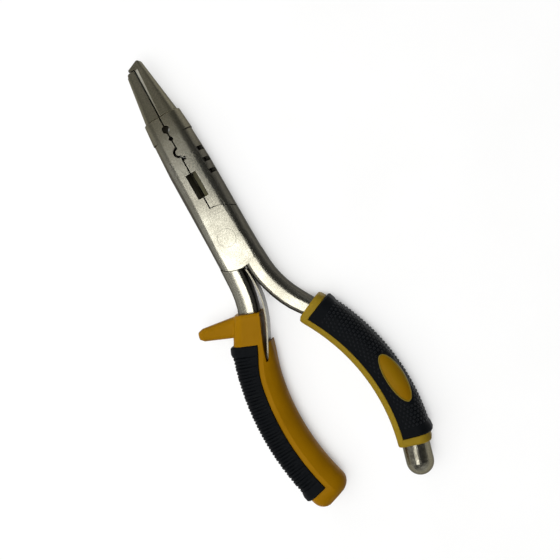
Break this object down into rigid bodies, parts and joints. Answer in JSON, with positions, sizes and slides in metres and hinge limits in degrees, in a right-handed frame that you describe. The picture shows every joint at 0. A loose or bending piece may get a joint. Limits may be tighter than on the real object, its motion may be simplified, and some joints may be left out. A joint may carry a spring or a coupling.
{
  "type": "fishing pliers",
  "caption": "Long-nose fishing pliers with split-ring tooth, crimps, side cutter, leaf spring between bowed two-shot grips, finger guard horn and bare steel handle end.",
  "frame": {"origin": "on the pivot axis, at the back face of the lap joint", "axes": "+Y along the closed nose, +X to the right with the nose up, +Z along the pivot axis towards the front"},
  "size_m": [0.0682, 0.2039, 0.0162],
  "materials": {
    "lever_steel": "satin nickel plate",
    "spring_steel": "bright spring strip",
    "core_plastic": "semi-gloss moulded",
    "overlay_rubber": "matt, ribbed and pebbled",
    "badge_plastic": "smooth, bare"
  },
  "bodies": {
    "rear": {"rear_lever": "lever_steel", "pivot_rivet": "lever_steel", "leaf_spring": "spring_steel", "spring_rivet": "spring_steel", "left_grip_core": "core_plastic", "left_grip_overlay": "overlay_rubber"},
    "front": {"front_lever": "lever_steel", "right_grip_core": "core_plastic", "right_grip_overlay": "overlay_rubber", "grip_badge": "badge_plastic"}
  },
  "joints": [
    {"name": "jaw_pivot", "type": "hinge", "parent": "rear", "child": "front", "pos_m": [0, 0, 0], "axis": [0, 0, 1], "range_deg": [0, 24], "stiffness_Nm_per_rad": 0.15, "springref_deg": 14.9, "deforming": ["leaf_spring"]}
  ]
}
